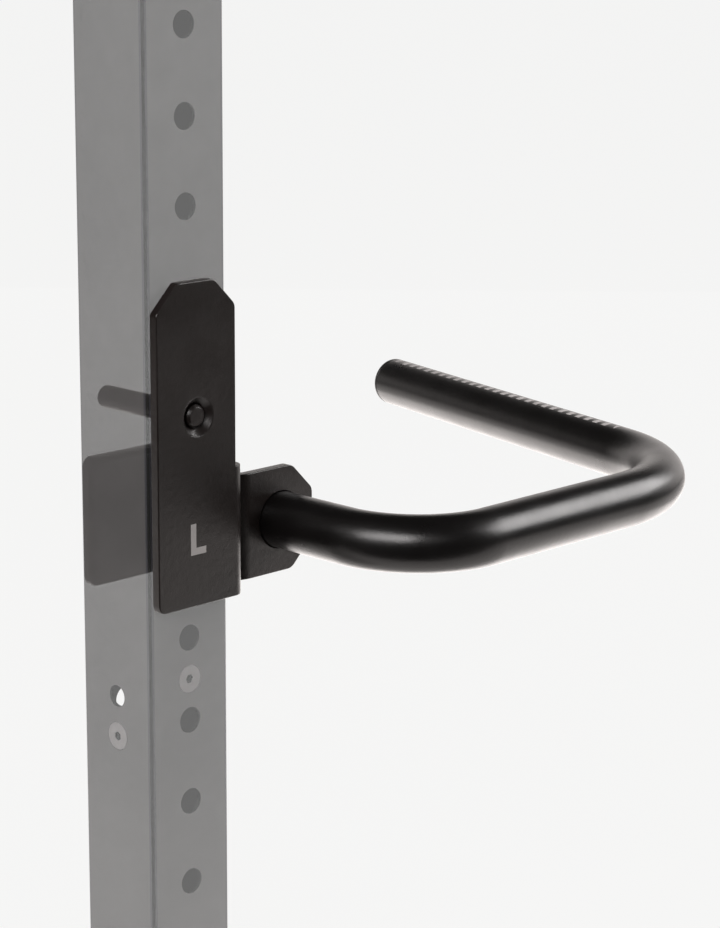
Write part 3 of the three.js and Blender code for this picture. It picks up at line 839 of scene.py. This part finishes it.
def grip_plug_mesh():
    """The end plug along +Z: a spigot inside the tube, a round-edged head and a shallow dish."""
    spigot, shoulder, top, soft = 13.6 * MM, 14.3 * MM, 16.8 * MM, 1.1 * MM
    profile = [
        (0, 0), (spigot - soft, 0), (spigot - 0.1 * MM, 1 * MM), (spigot, shoulder),
        (TUBE_R - 0.35 * MM, shoulder), (TUBE_R - 0.05 * MM, shoulder + 0.3 * MM),
        (TUBE_R, shoulder + 0.9 * MM),
    ]
    profile += arc((TUBE_R - soft, top - soft), soft, 0, 90, 4)
    profile += [(8 * MM, top - 0.05 * MM), (7.6 * MM, top - 0.2 * MM), (0, top - 0.2 * MM)]
    return turned(profile, 72), top


grip_plug, plug_length = grip_plug_mesh()
plug_start = line[-1][0] + along(grip_heading) * (END_HEAD - plug_length)
plug_turn = Matrix.Rotation(grip_heading, 4, "Z") @ Matrix.Rotation(math.pi / 2, 4, "Y")
grip_plug = moved(grip_plug, Matrix.Translation(plug_start) @ plug_turn)
link("grip_plug", grip_plug, cap_plastic, "handle", ["handle_end_cap"])

# ------------------------------------------------------------------ printed marks


def grip_scale():
    """The grip's scale: a row of short blocks printed across its top, the end ones cut slantwise."""
    count, pitch, first = 28, 9.8 * MM, 11 * MM
    width = pitch * 0.5
    start, end = math.radians(-6), math.radians(15)
    lift = TUBE_R + 0.05 * MM
    tip = grip_start + along(grip_heading) * GRIP_LENGTH
    steps = 8
    points, faces = [], []
    for k in range(count):
        middle = first + pitch * k
        base = len(points)
        for i in range(steps + 1):
            angle = start + (end - start) * i / steps
            radial = across(grip_heading) * math.sin(angle) + UP * math.cos(angle)
            near, far = middle - width / 2, middle + width / 2
            slanted = width * (1 - 0.85 * i / steps)
            if k == 0:
                far = near + slanted
            if k == count - 1:
                near = far - slanted
            points += [tip - along(grip_heading) * at + radial * lift for at in (near, far)]
        for i in range(steps):
            row = base + 2 * i
            faces.append((row, row + 1, row + 3, row + 2))
    mesh = bpy.data.meshes.new("scale")
    mesh.from_pydata(points, [], faces)
    mesh.update()
    work = bmesh.new()
    work.from_mesh(mesh)
    bmesh.ops.recalc_face_normals(work, faces=work.faces)
    for face in work.faces:
        if face.normal.z < 0:
            face.normal_flip()
    work.to_mesh(mesh)
    work.free()
    return mesh


link("grip_marks", grip_scale(), scale_paint, "handle")

MARK_LEFT, MARK_RIGHT = -6.4 * MM, 5.2 * MM
MARK_BOTTOM, MARK_TOP = 276.8 * MM, 295.1 * MM
MARK_STROKE = 4.1 * MM
stroke_x, stroke_z = MARK_LEFT + MARK_STROKE, MARK_BOTTOM + MARK_STROKE
side_mark = [
    (MARK_LEFT, MARK_BOTTOM), (MARK_RIGHT, MARK_BOTTOM), (MARK_RIGHT, stroke_z),
    (stroke_x, stroke_z), (stroke_x, MARK_TOP), (MARK_LEFT, MARK_TOP),
]
mark_mesh = plate(side_mark, [], 0.1 * MM, 0.02 * MM, 1)
link("left_hand_mark", in_front_plane(mark_mesh, SADDLE_LO.y - 0.03 * MM), mark_paint, "handle")

# ------------------------------------------------------------------ floor, light and camera

PALE = (0.905, 0.905, 0.9)
FLOOR_GLOW = 0.995
DIM = 0.02  # floor and room, to every ray but the camera's
FLOOR_HALF = 60
VIEW_SIDE = math.radians(45.7)  # level direction of the photo, from +Y towards +X
AWAY = Vector((math.sin(VIEW_SIDE), math.cos(VIEW_SIDE), 0))
LAMP_TARGET = Vector((0.15, -0.06, 0.32))
WARM = (1.0, 0.94, 0.91)


def stage_floor():
    """One even pale floor, dim to every ray but the camera's, so that the black paint keeps its depth."""
    corners = [(x * FLOOR_HALF, y * FLOOR_HALF, 0) for x, y in ((-1, -1), (1, -1), (1, 1), (-1, 1))]
    mesh = bpy.data.meshes.new("floor")
    mesh.from_pydata(corners, [], [(0, 1, 2, 3)])
    floor = bpy.data.objects.new("floor", mesh)
    bpy.context.scene.collection.objects.link(floor)
    paint = Paint("floor_pale", (DIM, DIM, DIM), 0.95, specular=0.0)
    paint.shader.inputs["Emission Color"].default_value = (*PALE, 1)
    seen = paint.add("ShaderNodeLightPath").outputs["Is Camera Ray"]
    paint.join(paint.spread(seen, DIM, FLOOR_GLOW, 0, 1), paint.shader.inputs["Emission Strength"])
    mesh.materials.append(paint.material)


def room():
    """An even pale room, dim like the floor."""
    world = bpy.data.worlds.new("studio")
    bpy.context.scene.world = world
    world.use_nodes = True
    tree = world.node_tree
    path = tree.nodes.new("ShaderNodeLightPath")
    mix = tree.nodes.new("ShaderNodeMix")
    mix.data_type = "RGBA"
    mix.inputs["A"].default_value = (DIM, DIM, DIM, 1)
    mix.inputs["B"].default_value = (*PALE, 1)
    tree.links.new(path.outputs["Is Camera Ray"], mix.inputs["Factor"])
    tree.links.new(mix.outputs["Result"], tree.nodes["Background"].inputs["Color"])


def lamp(name, place, turn, width, height, power, color):
    """A soft rectangular lamp; turn is its rotation away from shining down."""
    data = bpy.data.lights.new(name, "AREA")
    data.shape = "RECTANGLE"
    data.size, data.size_y = width, height
    data.energy = power
    data.color = color
    obj = bpy.data.objects.new(name, data)
    obj.location = place
    obj.rotation_euler = turn
    bpy.context.scene.collection.objects.link(obj)


def facing(direction):
    return direction.to_track_quat("-Z", "Y").to_euler()


def softbox(name, azimuth, elevation, distance, width, height, power, color):
    """A lamp that looks at the object; azimuth runs from +Y towards +X."""
    a, e = math.radians(azimuth), math.radians(elevation)
    out = Vector((math.sin(a) * math.cos(e), math.cos(a) * math.cos(e), math.sin(e)))
    lamp(name, LAMP_TARGET + out * distance, facing(-out), width, height, power, color)


stage_floor()
softbox("key_right", 119, 26, 2.5, 1.85, 1.15, 60, (1.0, 0.975, 0.97))
softbox("key_left", -105, 33, 2.5, 2.1, 1.05, 66, (1.0, 0.965, 0.96))
softbox("fill_back", -135, 30, 2.6, 2.4, 0.9, 3.5, (1.0, 0.97, 0.96))
shining_up = (math.pi, 0, math.pi - VIEW_SIDE)
lamp("backdrop", AWAY * 2.6 + UP * 0.65, facing(-AWAY), 9.0, 1.3, 40, WARM)
lamp("low_wide", AWAY * 1.4 + UP * 0.003, shining_up, 2.8, 3.2, 32, WARM)
lamp("low_narrow", AWAY * 1.45 + Vector((0.14, -0.14, 0.006)), shining_up, 1.0, 2.5, 17, WARM)
room()

YAW, PITCH, ROLL = math.radians(45.663), math.radians(13.156), math.radians(0.348)
CAMERA_AT = Vector((-0.95283, -1.09788, 0.66233))
FOCAL_LENGTH = 100.04  # mm, on a 36 mm sensor

forward = Vector((math.sin(YAW) * math.cos(PITCH), math.cos(YAW) * math.cos(PITCH), -math.sin(PITCH)))
level = Vector((math.cos(YAW), -math.sin(YAW), 0))
upward = level.cross(forward)
right = level * math.cos(ROLL) + upward * math.sin(ROLL)
upward = upward * math.cos(ROLL) - level * math.sin(ROLL)
camera_data = bpy.data.cameras.new("camera")
camera_data.sensor_width = 36
camera_data.lens = FOCAL_LENGTH
camera_data.clip_start = 0.05
camera_data.clip_end = 200
camera = bpy.data.objects.new("camera", camera_data)
camera.matrix_world = Matrix((right, upward, -forward)).transposed().to_4x4()
camera.location = CAMERA_AT
bpy.context.scene.collection.objects.link(camera)
bpy.context.scene.camera = camera
bpy.context.scene.view_settings.view_transform = "Standard"
